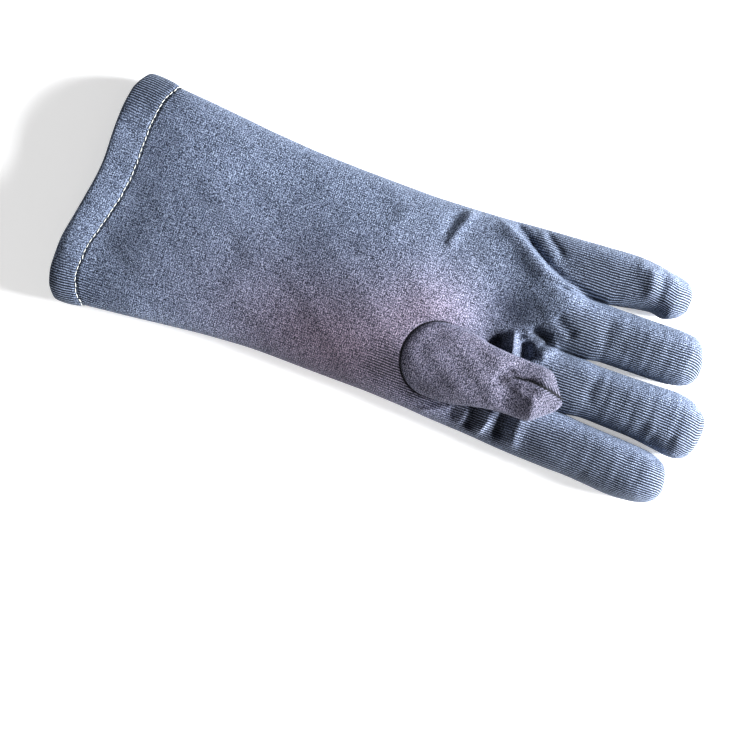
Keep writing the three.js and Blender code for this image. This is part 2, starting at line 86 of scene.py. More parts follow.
fingers = [
    dict(name="little", width=32.5, length=47, outline=table("at left right", [
        (0, -0.5, 0.5), (0.2, -0.51, 0.45), (0.42, -0.49, 0.39), (0.6, -0.44, 0.36),
        (0.75, -0.405, 0.4), (0.87, -0.36, 0.34), (0.95, -0.27, 0.24), (1, -0.12, 0.14),
    ])),
    dict(name="ring", width=34.5, length=65.5, outline=table("at left right", [
        (0, -0.5, 0.5), (0.15, -0.495, 0.455), (0.4, -0.5, 0.45), (0.7, -0.505, 0.44),
        (0.84, -0.485, 0.405), (0.92, -0.4, 0.35), (0.97, -0.24, 0.26), (1, -0.04, 0.13),
    ])),
    dict(name="middle", width=34, length=78.5, outline=table("at left right", [
        (0, -0.5, 0.5), (0.12, -0.475, 0.465), (0.3, -0.475, 0.48), (0.5, -0.485, 0.5),
        (0.7, -0.5, 0.56), (0.84, -0.455, 0.6), (0.92, -0.35, 0.55), (0.97, -0.26, 0.4),
        (1, -0.14, 0.12),
    ])),
    dict(name="index", width=33.5, length=67.5, outline=table("at left right", [
        (0, -0.5, 0.5), (0.15, -0.465, 0.505), (0.35, -0.44, 0.535), (0.6, -0.41, 0.575),
        (0.78, -0.375, 0.55), (0.88, -0.32, 0.5), (0.95, -0.22, 0.42), (1, 0.04, 0.26),
    ])),
]

# Shares of the section's growth from the wrist to the cuff, the palm and the knuckles
sections = table("at flare spread shift mouth heel thin", [
    (0.00, 1.00, 0.00, -0.017, 1.0, 0.00, 0.00),
    (0.06, 0.83, 0.00, -0.017, 0.2, 0.00, 0.00),
    (0.15, 0.60, 0.00, -0.018, 0.7, 0.00, 0.00),
    (0.22, 0.40, 0.00, -0.019, 0.5, 0.00, 0.00),
    (0.30, 0.18, 0.00, -0.018, 0.2, 0.00, 0.00),
    (0.40, 0.02, 0.00, -0.015, 0.0, 0.10, 0.00),
    (0.50, 0.00, 0.00, -0.008, 0.0, 0.70, 0.00),
    (0.60, 0.00, 0.00, -0.004, 0.0, 1.05, 0.00),
    (0.69, 0.00, 0.13, -0.001, 0.0, 0.75, 0.00),
    (0.75, 0.00, 0.30, 0.002, 0.0, 0.50, 0.00),
    (0.83, 0.00, 0.54, 0.000, 0.0, 0.20, 0.05),
    (0.91, 0.00, 0.79, 0.002, 0.0, 0.00, 0.35),
    (1.00, 0.00, 1.00, 0.000, 0.0, 0.00, 1.00),
])
# The cuff's edge on each side, as shares of cuff_wave, and the hem's depth, of hem_depth
cuff_edge = table("at palm back depth", [
    (-1.00, 0.80, 0.80, 1.08), (-0.80, 0.35, 0.70, 1.08), (-0.55, 0.25, 0.60, 1.04),
    (-0.25, 0.26, 0.45, 1.02), (0.00, 0.14, 0.30, 1.00), (0.30, -0.18, 0.15, 0.93),
    (0.55, -0.52, 0.00, 0.86), (0.75, -0.60, -0.05, 0.84), (0.90, -0.45, -0.10, 0.88),
    (1.00, -0.10, -0.10, 0.94),
])


def curve(rows, column):
    """Smooth curve through one column of a table by its "at": a cubic between two rows, whose
    slope at a row is the harmonic mean of the chords beside it, so that it never overshoots."""
    at = rows["at"]
    value = rows[column]
    step = np.diff(at)
    chord = np.diff(value) / step
    both = chord[:-1] * chord[1:]
    joined = np.where(both > 0, chord[:-1] + chord[1:], 1)
    inner = np.where(both > 0, 2 * both / joined, 0)
    slope = np.concatenate([chord[:1], inner, chord[-1:]])

    def along(place):
        """The straight line between the two rows, softened, plus what their slopes add."""
        place = np.clip(place, at[0], at[-1])
        i = np.clip(np.searchsorted(at, place) - 1, 0, len(step) - 1)
        s = (place - at[i]) / step[i]
        lean = s * (1 - s) * step[i] * ((1 - s) * slope[i] - s * slope[i + 1])
        return value[i] + (value[i + 1] - value[i]) * smooth(s) + lean

    return along


def smooth(s):
    """0 below 0, 1 above 1, and s squared times 3 - 2s between them: a soft step."""
    s = np.clip(s, 0, 1)
    return s * s * (3 - 2 * s)


def mix(a, b, s):
    """a where s is 0, b where it is 1, and evenly between."""
    return a + (b - a) * s


def arch(t, power):
    """Height of a rounded section, 1 in its middle and 0 at t = -1 and 1: a superellipse."""
    return np.maximum(0, 1 - np.abs(t) ** power) ** (1 / power)


knuckle_width = sum(finger["width"] for finger in fingers)
root_edges = np.cumsum([0] + [finger["width"] for finger in fingers]) * 2 / knuckle_width - 1
flare, spread, shift, mouth, heel, thin = (
    curve(sections, column) for column in "flare spread shift mouth heel thin".split()
)
hem_share = curve(cuff_edge, "depth")
edge_share = {side: curve(cuff_edge, side) for side in ("palm", "back")}


def half_at(y):
    """Half the section's width: the wrist's, plus a share of the cuff's and the knuckles'."""
    s = y / body_length
    grown = flare(s) * (cuff_width - wrist_width) + spread(s) * (knuckle_width - wrist_width)
    return (wrist_width + grown) / 2


def middle_at(y):
    """How far the section's middle lies to the thumb's side: a share of the wrist's width."""
    return shift(y / body_length) * wrist_width


def top_at(y):
    """Height of the palm side: the wrist's, plus shares of what the cuff, the heel of the hand
    and the fingers differ by."""
    s = y / body_length
    return (
        wrist_height
        + mouth(s) * (cuff_height - wrist_height)
        + heel(s) * (palm_height - wrist_height)
        + thin(s) * (finger_height - wrist_height)
    )


def seam_at(y):
    """Height of the side seam, which rises as the cuff flares."""
    return mix(seam_height, cuff_seam_height, flare(y / body_length))


def web_at(y):
    """0 in the palm and 1 where the fingers part, with a soft step between them."""
    return smooth((y - body_length + web_run) / web_run)


def finger_rise(share):
    """Height of a finger's front along it, as a share of its root's: the padding fills it most
    from two thirds of its length on."""
    return 1 + 0.08 * smooth(share / 0.65)


def finger_across(t):
    """Place across the nearest finger, from -1 to 1, of a place across the whole hand."""
    i = np.clip(np.searchsorted(root_edges, t) - 1, 0, len(fingers) - 1)
    return 2 * (t - root_edges[i]) / (root_edges[i + 1] - root_edges[i]) - 1


def crease(x, y, path, lift, spread, steep=None, fade=0.25):
    """Height of a fold along a path of points: lift times exp(-(distance / spread) squared),
    which fades out over a share of the path's length at each end. steep is the spread on the
    path's left, where that side falls off faster."""
    path = np.array(path, float)
    runs = np.diff(path, axis=0)
    lengths = np.hypot(*runs.T)
    passed = np.concatenate([[0], np.cumsum(lengths)])
    nearest = np.full(np.shape(x), np.inf)
    place = np.zeros(np.shape(x))
    left = np.zeros(np.shape(x), bool)
    for start, run, length, before in zip(path, runs, lengths, passed):
        ahead, aside = x - start[0], y - start[1]
        share = np.clip((ahead * run[0] + aside * run[1]) / length**2, 0, 1)
        away = np.hypot(ahead - share * run[0], aside - share * run[1])
        closer = away < nearest
        nearest = np.where(closer, away, nearest)
        place = np.where(closer, before + share * length, place)
        left = np.where(closer, run[0] * aside > run[1] * ahead, left)
    end = np.minimum(place, passed[-1] - place) / (fade * passed[-1])
    spread = np.where(left, steep or spread, spread)
    return lift * smooth(0.25 + end) * np.exp(-((nearest / spread) ** 2))


def bell(x, y, centre, reach):
    """1 at a place and 0 far from it: centre and reach in x and y, in millimetres."""
    return np.exp(-(((x - centre[0]) / reach[0]) ** 2) - ((y - centre[1]) / reach[1]) ** 2)


# Hollows and swells of the palm side: centre, reach in x and y, and height
palm_swells = [
    ((4, 166), (46, 36), 4.0),  # the heel of the hand
    ((-7, 240), (24, 26), -11.5),  # the hollow of the hand
    ((-16, 290), (22, 20), 2.4),  # the root of the ring finger
    ((-27, 272), (15, 22), 3.0),
    ((-52, 225), (13, 18), 1.6),  # the palm's edge below the little finger
]
# Folds of the palm side: path in millimetres, height of the fold, half its width, and half
# its width on the left where that side is steeper
palm_folds = [
    # the roll where the little finger tucks under the palm: it rises slowly from the palm's
    # side and drops into a groove on the finger's side
    ([(-60.8, 226.3), (-52.2, 243.6), (-45.4, 253.9), (-40.4, 262.2), (-36.4, 272.8),
      (-33.2, 291)], 6.0, 8.5, 1.2),
    ([(-56, 224), (-46, 240), (-36, 252), (-28, 265), (-23, 276)], -1.0, 4.5),
    ([(-54.9, 246.9), (-48.5, 255.7), (-43.2, 264.5), (-39.2, 274.3), (-35.8, 290),
      (-33.3, 303.7)], -3.2, 1.5),
    ([(-61.5, 237), (-56.9, 244), (-51, 252.7)], -2.6, 2.2),
    ([(-61.8, 250.8), (-54.9, 257.6), (-48.1, 266.5)], 1.6, 2.4),
    ([(-61.8, 255.7), (-57.9, 260.6), (-51, 269.4)], -2.0, 2.0),
    # the edge of the heel, which drops into the hollow of the hand
    ([(-34, 190), (-14, 194), (1, 203), (11, 212)], 1.6, 13.0, 11.0),
    # short rolls that run in from the side seam at the heel
    ([(-60.8, 212.5), (-51, 209.1), (-42.2, 206.2), (-32.4, 204.7)], 2.2, 2.8),
    ([(-58.8, 205.7), (-49, 202.7), (-38.3, 199.8)], -1.2, 3.4),
    ([(-50, 177), (-40, 173), (-29, 170)], 0.8, 4.0),
    # the pocket beside the thumb and the crest that crosses it
    ([(14.7, 243), (9, 248.8), (5.4, 253)], -7.0, 3.3),
    ([(-1, 256.8), (4.9, 257.6), (12.7, 260)], 4.4, 1.6),
    ([(12.7, 267.6), (6.9, 266.2), (1.6, 264.6)], -7.4, 3.4),
    ([(-5.5, 265.5), (-2.8, 278)], -5.0, 2.4),
    ([(-0.2, 262.5), (-1.2, 276)], 2.6, 1.3),
    ([(-2, 284.4), (3.9, 277.4), (9.8, 275.6)], 3.0, 3.2),
    ([(-17, 275.3), (-12, 284), (-8.5, 290.5)], -2.4, 3.0),
    # ruffles between the thumb and the index finger
    ([(44.1, 250.8), (52.9, 251.3), (60.8, 249.8)], -6.6, 2.8),
    ([(44.1, 258.1), (53.9, 258.6), (61.7, 255.7)], 6.0, 2.1),
    ([(34, 266), (44.1, 267), (52.9, 267.4), (60.8, 267.9)], -7.4, 3.4),
    ([(42, 277.3), (53.9, 276), (63.7, 277.2)], 3.4, 3.4),
    ([(48, 245.4), (55.9, 244.9), (60.8, 242.9)], 1.8, 2.0),
    ([(50, 239), (57.8, 239)], -2.4, 2.4),
    ([(47, 244.9), (51, 237), (56.8, 226.3), (60.8, 218.4)], 1.6, 1.4),
    ([(45.1, 241), (49, 233.1), (54.9, 221.4)], -1.2, 2.6),
    # sag and swells of the cuff
    ([(8, 85), (5, 130), (0, 190)], 2.2, 13.0),
    ([(-45, -60), (-45, 80)], 0.6, 13.0),
    ([(-9.2, -80), (-9.2, 75)], -2.4, 14.0),
    ([(26, -60), (26, 90)], 1.0, 15.0),
    # soft dents of the gauntlet
    ([(-30, 70), (-10, 110)], -0.9, 16.0),
    ([(20, 90), (40, 130)], 0.8, 14.0),
    ([(-40, 120), (-20, 150)], 0.7, 14.0),
]


def ripple(x, y, *waves):
    """Sum of sine waves, each with a height, a length across, a length along and a phase."""
    return sum(
        height * np.sin(2 * np.pi * (x / across + y / along) + phase)
        for height, across, along, phase in waves
    )


def palm_relief(x, y):
    """Height that the folds, swells and a faint waviness of the cloth add."""
    folds = sum(crease(x, y, *fold) for fold in palm_folds)
    swells = sum(height * bell(x, y, centre, reach) for centre, reach, height in palm_swells)
    return folds + swells + ripple(
        x, y, (0.25, 47, 61, 0.4), (0.2, -33, 52, 1.9), (0.12, 19, -23, 0.8))


def palm_z(x, y):
    """Height of the palm side: a superellipse section that turns into the fingers' four arches
    over the web's run, with the folds added where there is cloth above the seam to carry them."""
    t = np.clip((x - middle_at(y)) / half_at(y), -1, 1)
    seam = seam_at(y)
    whole = (top_at(y) - seam) * arch(t, palm_roundness)
    split = (finger_height - seam) * arch(finger_across(t), finger_roundness)
    rise = mix(whole, split, web_at(y))
    folds = palm_relief(x, y)
    return seam + np.maximum(rise + folds * rise / (rise + wall), 0.02 * rise)


def flat(t):
    """How flat the underside lies: a squarish superellipse, cut off at 1 in its middle."""
    return np.minimum(1, 1.04 * arch(t, back_squareness))


def back_z(x, y):
    """Height of the underside: flat on the table, and rounded up to the seam at its sides."""
    t = np.clip((x - middle_at(y)) / half_at(y), -1, 1)
    return seam_at(y) * (1 - mix(flat(t), flat(finger_across(t)), web_at(y)))


def edge_y(side, t):
    """Place of the cuff's edge along the glove."""
    return edge_share[side](t) * cuff_wave


def stitch_y(side, t):
    """Place of the hem's stitch line along the glove: the edge's, plus the hem's depth."""
    return edge_y(side, t) + hem_share(t) * hem_depth


def column_place(column, columns, web):
    """Place across the hand of each column: even in the open palm, crowded to the side seams,
    and crowded to both edges of every finger where the fingers part."""
    column = np.asarray(column, float)
    i = np.minimum(column // columns, len(fingers) - 1).astype(int)
    s = column / columns - i
    even = np.where(i == 0, 1 - np.cos(np.pi / 2 * s), s)
    even = np.where(i == len(fingers) - 1, np.sin(np.pi / 2 * s), even)
    crowded = (1 - np.cos(np.pi * s)) / 2
    return mix(root_edges[i], root_edges[i + 1], mix(even, crowded, web))


# The thumb's oval hole in the palm panel
thumb_root_width = 43.6
thumb_root_length = 40
thumb_centre = (29.2, body_length - 83)


def thumb_distance(x, y):
    """Distance from the rim of the thumb's hole, about, and negative inside it."""
    across = (x - thumb_centre[0]) / (thumb_root_width / 2)
    along = (y - thumb_centre[1]) / (thumb_root_length / 2)
    radius = np.hypot(across, along)
    away = np.hypot(x - thumb_centre[0], y - thumb_centre[1])
    return (radius - 1) * away / np.maximum(radius, 1e-6)


def seam_dip(x, y):
    """How far the thumb's seam draws the cloth down: a bell of the distance from the rim."""
    return seam_sink * np.exp(-((thumb_distance(x, y) / seam_sink_reach) ** 2))


def grid_quads(rows, columns, start=0):
    """Corner numbers of the quads of a grid of points, row by row from start."""
    low = start + np.arange(rows - 1)[:, None] * columns + np.arange(columns - 1)
    return np.stack([low, low + 1, low + columns + 1, low + columns], -1).reshape(-1, 4)


def finger_top(finger, x, y, share):
    """Extra height on the front of a finger: cross puckers and bends, as the cloth is slack."""
    bend = finger_shapes[finger["name"]]
    puckers = sum(crease(x, y, *fold) for fold in bend["folds"])
    fade = smooth(share / 0.12) * smooth((1 - share) / 0.12)
    return puckers + fade * bend["pucker"] * ripple(x, y, *bend["waves"])


finger_shapes = {
    "little": dict(pucker=0.1, waves=[(1, 90, 9.5, 0.6), (0.6, -60, 5.6, 2.0)], folds=[
        ([(-63, 319), (-53, 322), (-43, 322.5)], 1.3, 2.6),
        ([(-62, 326.5), (-53, 329), (-43, 328.5)], -1.0, 2.6),
        ([(-66, 312), (-58, 317), (-49, 318)], 0.9, 3.4),
        ([(-66, 330), (-61, 338), (-58, 343)], -1.1, 1.8),
    ]),
    "ring": dict(pucker=0.15, waves=[(1, 120, 8.6, 0.0), (0.5, -70, 5.1, 1.0)], folds=[
        ([(-30, 307), (-18, 306), (-8, 309)], -0.9, 2.8),
        ([(-28, 321), (-16, 321)], -0.6, 2.4),
        ([(-24, 352), (-12, 354)], 0.5, 4.0),
    ]),
    "middle": dict(pucker=0.18, waves=[(1, 150, 9.0, 2.4), (0.5, -80, 5.4, 0.2)], folds=[
        ([(4, 311), (16, 309), (27, 312)], -1.0, 2.6),
        ([(30, 350), (35, 358), (37, 362)], -1.7, 2.2),
        ([(22, 343), (31, 345)], -0.8, 2.8),
        ([(26, 363), (31, 370)], 0.9, 3.0),
        ([(6, 366), (10, 373)], -0.8, 2.4),
    ]),
    "index": dict(pucker=0.14, waves=[(1, 130, 9.4, 1.2), (0.5, -90, 5.8, 0.4)], folds=[
        ([(63, 318), (68, 324), (69, 330)], -1.3, 2.6),
        ([(37, 352), (40, 357), (44, 360)], -1.2, 2.2),
        ([(58, 348), (66, 350)], 0.6, 3.4),
    ]),
}


def panel_points(side, columns, body_rows, finger_rows):
    """Points, flat knit coordinates and quads of one panel: a grid from the stitch line to the
    line where the fingers part, then a grid on each finger, whose first row is the body's last."""
    sign = 1 if side == "palm" else -1
    last = columns * len(fingers)
    along = np.linspace(0, 1, body_rows + 1)[:, None]
    along = along * (1 + 0.3 * (1 - along))
    column = np.arange(last + 1)[None, :]
    start = stitch_y(side, column_place(column, columns, 0)) + seam_gap / 2
    y = mix(start, body_length, along)
    t = column_place(column, columns, web_at(y))
    x = middle_at(y) + t * half_at(y)

    quads = grid_quads(body_rows + 1, last + 1)
    if side == "palm":
        # The hole's rim: the corners of cut quads that kept quads share are moved out to it.
        centre = thumb_distance(x.ravel()[quads].mean(1), y.ravel()[quads].mean(1))
        inside = centre < 0
        rim = np.intersect1d(quads[inside], quads[~inside])
        towards = np.stack([x.ravel()[rim] - thumb_centre[0], y.ravel()[rim] - thumb_centre[1]])
        angle = np.arctan2(towards[1] / thumb_root_length, towards[0] / thumb_root_width)
        x.ravel()[rim] = thumb_centre[0] + (thumb_root_width / 2 + seam_gap) * np.cos(angle)
        y.ravel()[rim] = thumb_centre[1] + (thumb_root_length / 2 + seam_gap) * np.sin(angle)
        quads = quads[~inside]
    z = palm_z(x, y) if side == "palm" else back_z(x, y)
    if side == "palm":
        z -= seam_dip(x, y)

    # Flat coordinates of the knit: straight along the glove, and round the section across it
    t_even = np.clip((x - middle_at(y)) / half_at(y), -1, 1)
    seam = seam_at(y)
    open_z = (top_at(y) - seam) * arch(t_even, palm_roundness) if side == "palm" else z
    step = np.hypot(np.diff(x, axis=1), np.diff(open_z, axis=1))
    u = np.concatenate([np.zeros((body_rows + 1, 1)), np.cumsum(step, 1)], 1)
    u -= u[:, last // 2][:, None]

    parting = np.arange(0, last + 1, columns)
    seam_points = np.zeros((body_rows + 1, last + 1), bool)
    seam_points[:, [0, last]] = True
    seam_points[-1, parting] = True
    z = np.where(seam_points, seam_at(y) + sign * seam_gap / 2, z)
    points = [np.stack([x, y, z], -1).reshape(-1, 3)]
    flat_knit = [np.stack([u, y], -1).reshape(-1, 2)]
    seams = [seam_points.ravel()]
    cuff = [np.arange((body_rows + 1) * (last + 1)) <= last]
    all_quads = [quads]
    root_row = u[-1]

    share = np.linspace(0, 1, finger_rows + 1)[1:, None]
    share = 1 - (1 - share) ** 1.35  # rows crowd towards the tip
    share[-1] = 1
    s = (1 - np.cos(np.pi * np.arange(columns + 1) / columns)) / 2
    for i, finger in enumerate(fingers):
        midline = middle_at(body_length) + (root_edges[i] + root_edges[i + 1]) * knuckle_width / 4
        left = curve(finger["outline"], "left")(share)
        right = curve(finger["outline"], "right")(share)
        fx = midline + finger["width"] * mix(left, right, s[None, :])
        fy = body_length + share * finger["length"] + 0 * fx
        to_tip = (1 - share) * finger["length"]
        closing = np.where(to_tip < tip_round, arch(1 - to_tip / tip_round, tip_roundness), 1)
        ft = (2 * s - 1)[None, :]
        if side == "palm":
            rise = (finger_height - seam_height) * finger_rise(share) * closing
            rise = rise * arch(ft, finger_roundness)
            extra = finger_top(finger, fx, fy, share) + palm_relief(fx, fy)
            fz = seam_height + np.maximum(rise + extra * rise / (rise + wall), 0.02 * rise)
        else:
            fz = seam_height * (1 - closing * flat(ft))
        seam_finger = np.zeros(fx.shape, bool)
        seam_finger[:, [0, columns]] = True
        seam_finger[-1, :] = True
        fz = np.where(seam_finger, seam_height + sign * seam_gap / 2, fz)

        root_u = root_row[i * columns:(i + 1) * columns + 1]
        step = np.hypot(np.diff(fx, axis=1), np.diff(fz, axis=1))
        own = np.concatenate([np.zeros((finger_rows, 1)), np.cumsum(step, 1)], 1)
        own += root_u[columns // 2] - own[:, [columns // 2]]
        fu = mix(root_u[None, :], own, smooth(share / 0.35))

        first = body_rows * (last + 1) + i * columns + np.arange(columns + 1)
        numbers = sum(len(block) for block in points) + np.arange(fx.size).reshape(fx.shape)
        numbers = np.concatenate([first[None, :], numbers])
        low = numbers[:-1, :-1]
        all_quads.append(np.stack(
            [low, numbers[:-1, 1:], numbers[1:, 1:], numbers[1:, :-1]], -1).reshape(-1, 4))
        points.append(np.stack([fx, fy, fz], -1).reshape(-1, 3))
        flat_knit.append(np.stack([fu, fy], -1).reshape(-1, 2))
        seams.append(seam_finger.ravel())
        cuff.append(np.zeros(fx.size, bool))
    return (np.concatenate(points), np.concatenate(flat_knit), np.concatenate(all_quads),
            np.concatenate(seams), np.concatenate(cuff))


def unit(vectors):
    """Vectors divided by their lengths."""
    return vectors / np.maximum(np.linalg.norm(vectors, axis=-1, keepdims=True), 1e-9)


def point_normals(points, quads):
    """Unit normal at each point: the sum of its quads' normals."""
    corners = points[quads]
    faces = np.cross(corners[:, 2] - corners[:, 0], corners[:, 3] - corners[:, 1])
    normals = np.zeros(points.shape)
    for corner in range(4):
        np.add.at(normals, quads[:, corner], faces)
    return unit(normals)


def open_edges(quads, count):
    """Directed edges that only one quad has, as pairs of point numbers."""
    edges = np.concatenate([quads[:, [k, (k + 1) % 4]] for k in range(4)])
    edges = edges[edges[:, 0] != edges[:, 1]]
    forward = edges[:, 0].astype(np.int64) * count + edges[:, 1]
    backward = edges[:, 1].astype(np.int64) * count + edges[:, 0]
    return edges[~np.isin(forward, backward)]


def two_walls(quads, count):
    """Quads of a closed shell: the outer wall, the same turned round for the inner wall, whose
    points follow the outer's, and a strip between them at every open edge."""
    edge = open_edges(quads, count)
    strip = np.stack([edge[:, 1], edge[:, 0], edge[:, 0] + count, edge[:, 1] + count], -1)
    return np.concatenate([quads, quads[:, ::-1] + count, strip])


# The frame's place of the glove's own origin: the solid thumb's root is in the middle of its
# node's width, this hole is a little nearer the index finger's side than the solid's, and the
# palm panel's far end is the tip of the longest finger.
hole_shift = 1.2
thumb_low, thumb_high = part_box("thumb")
_, palm_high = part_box("palm_panel")
glove_length = body_length + max(finger["length"] for finger in fingers)
origin = np.array([
    (thumb_low.x + thumb_high.x) / 2 * 1000 - thumb_centre[0] + hole_shift,
    palm_high.y * 1000 - glove_length,
    0,
])


def put(thing):
    """Puts an object in the scene."""
    bpy.context.scene.collection.objects.link(thing)
    return thing


def cloth_mesh(name, points, quads, knit, corner_knit=None, **values):
    """A mesh in metres from points in millimetres. The knit's flat coordinates become its UV
    map, in millimetres, and each further array becomes an attribute of its points."""
    used, quads_used = np.unique(quads, return_inverse=True)
    quads_used = quads_used.reshape(quads.shape)
    corners = knit[quads] if corner_knit is None else corner_knit
    mesh = bpy.data.meshes.new(name)
    mesh.from_pydata(((points[used] + origin) / 1000).tolist(), [], quads_used.tolist())
    layer = mesh.uv_layers.new(name="knit")
    layer.data.foreach_set("uv", corners.reshape(-1).astype(np.float32))
    for key, value in values.items():
        attribute = mesh.attributes.new(key, "FLOAT", "POINT")
        attribute.data.foreach_set("value", np.asarray(value, np.float32)[used])
    mesh.validate()
    mesh.shade_smooth()
    return put(bpy.data.objects.new(name, mesh))


def warmth(points):
    """Painted light: how far the knit's colour is tinted purple grey by a painted warm light cast,
    a bell at the wrist on the thumb's side and half of one in the middle of the palm, which add up
    to 1 at most."""
    x, y = points[:, 0], points[:, 1]
    return np.minimum(1, bell(x, y, (44, 165), (44, 78)) + 0.5 * bell(x, y, (0, 212), (26, 34)))


def ribbing(points):
    """How clearly the ribs show: on the fingers' sides away from the little finger, where the
    knit is stretched, at the cuff's corners and round the thumb's root, and faintly elsewhere."""
    x, y = points[:, 0], points[:, 1]
    across = finger_across(np.clip((x - middle_at(body_length)) * 2 / knuckle_width, -1, 1))
    on_fingers = smooth((y - 266) / 30) * (0.15 + 0.8 * smooth((across + 0.75) / 0.7))
    spots = [
        ((-66, 2), (18, 24), 1.0), ((66, 0), (18, 22), 0.9), ((56, 256), (12, 20), 0.8),
        ((42, 193), (12, 12), 0.6), ((50, 215), (9, 14), 0.5), ((-58, 262), (10, 20), 0.6),
    ]
    shown = 0.12 + on_fingers + sum(share * bell(x, y, at, reach) for at, reach, share in spots)
    return np.clip(shown, 0, 1)


# Painted light and shade: places where the knit's colour is made paler as painted light, or darker
# as painted shade: the middle, the reach and how much
painted_light_spots = [
    ((54, 228), (9, 22), 0.62),  # painted light beside the thumb
    ((-2, 222), (13, 15), 0.1),  # the palm
    ((-38, 222), (16, 14), -0.22),
    ((14, 56), (34, 44), -0.24),  # the middle of the gauntlet
    ((48, 168), (20, 40), -0.16),
    ((-44, 175), (14, 18), -0.1),
    ((-46, 274), (9, 12), -0.25),  # beside the roll of the little finger, and on it
    ((-42, 262), (7, 5), 0.2),
    ((-14, 266), (15, 13), -0.2),
    ((-49, 335), (11, 11), 0.4),
    ((53, 258.6), (8, 3), 0.35),  # the crest of a ruffle
    ((3, 292), (8, 7), -0.3),
    ((6, 249), (6, 5), -0.5),  # the pocket beside the thumb
    ((-3, 272), (7, 6), -0.5),
    ((52, 250), (9, 3), -0.4),  # between the ruffles
    ((48, 267), (12, 3), -0.4),
    ((25, 326), (6, 22), 0.28),  # the sides of the fingers that face the thumb
    ((-6, 330), (6, 20), 0.35),
    ((-56, 329), (7, 12), 0.3),
    ((48, 306), (8, 20), -0.12),
]


def paleness(points):
    """How light the cover is, about 1: less where its ribs are pulled open, a little less from the
    hollow of the hand on, more at the fingertips as painted light, and more or less at the painted
    light spots, which paint light and shade into the colour."""
    x, y = points[:, 0], points[:, 1]
    lightness_and_painted_light = sum(more * bell(x, y, at, reach) for at, reach, more in painted_light_spots)
    painted_fingertip_light = 0.26 * smooth((y - 318) / 40)
    return 1.06 - 0.2 * ribbing(points) - 0.03 * smooth((y - 240) / 35) + lightness_and_painted_light + painted_fingertip_light


def sewn_panel(name, side, columns, body_rows, finger_rows):
    """A panel as a closed shell of its wall's thickness."""
    sign = 1 if side == "palm" else -1
    points, knit, quads, seams, cuff = panel_points(side, columns, body_rows, finger_rows)
    if sign < 0:
        quads = quads[:, ::-1]
    normals = point_normals(points, quads)
    normals[seams, 2] = 0
    normals[cuff, 1] = 0
    inner = points - wall * unit(normals)
    seam = seam_at(np.minimum(points[:, 1], body_length)) + sign * seam_gap / 2
    inner[:, 2] = sign * np.maximum(sign * inner[:, 2], sign * seam)
    both = np.concatenate([points, inner])
    both[:, 2] = np.maximum(both[:, 2], 0)
    return cloth_mesh(name, both, two_walls(quads, len(points)), np.concatenate([knit, knit]),
                      warm=warmth(both), rib=ribbing(both), pale=paleness(both))


# Material of the cover: warp-knit polyester, napped on the back and ribbed on the face. Its
# wales run along the glove as fine ridges with dark furrows, and its filaments give a soft
# bluish sheen with a speckled grain.

def linear(colour):
    """An sRGB hex colour as linear RGBA."""
    parts = [int(colour[k:k + 2], 16) / 255 for k in (1, 3, 5)]
    return [c / 12.92 if c <= 0.04045 else ((c + 0.055) / 1.055) ** 2.4 for c in parts] + [1]


def add(material, kind, settings=None, **sockets):
    """Adds one shader node. settings are its properties, and sockets its inputs by name, where
    a space is written as one underscore, or by number after an underscore: a value, another
    node, whose first output is linked, or one output of a node."""
    node = material.node_tree.nodes.new(kind)
    for key, value in (settings or {}).items():
        setattr(node, key, value)
    for key, value in sockets.items():
        number = key[1:] if key[0] == "_" and key[1:].isdigit() else None
        socket = node.inputs[int(number)] if number else node.inputs[key.replace("_", " ")]
        if isinstance(value, bpy.types.Node):
            value = value.outputs[0]
        if isinstance(value, bpy.types.NodeSocket):
            material.node_tree.links.new(value, socket)
        else:
            socket.default_value = value
    return node


rib_pitch = 1.5  # wale to wale, wider than on the real cloth, whose ribs would hardly show
course_pitch = 1.25
product = dict(operation="MULTIPLY")
product_plus = dict(operation="MULTIPLY_ADD")
wave = dict(operation="SINE")


def bare_material(name):
    """A material with no nodes yet."""
    m = bpy.data.materials.new(name)
    m.use_nodes = True
    m.node_tree.nodes.clear()
    return m


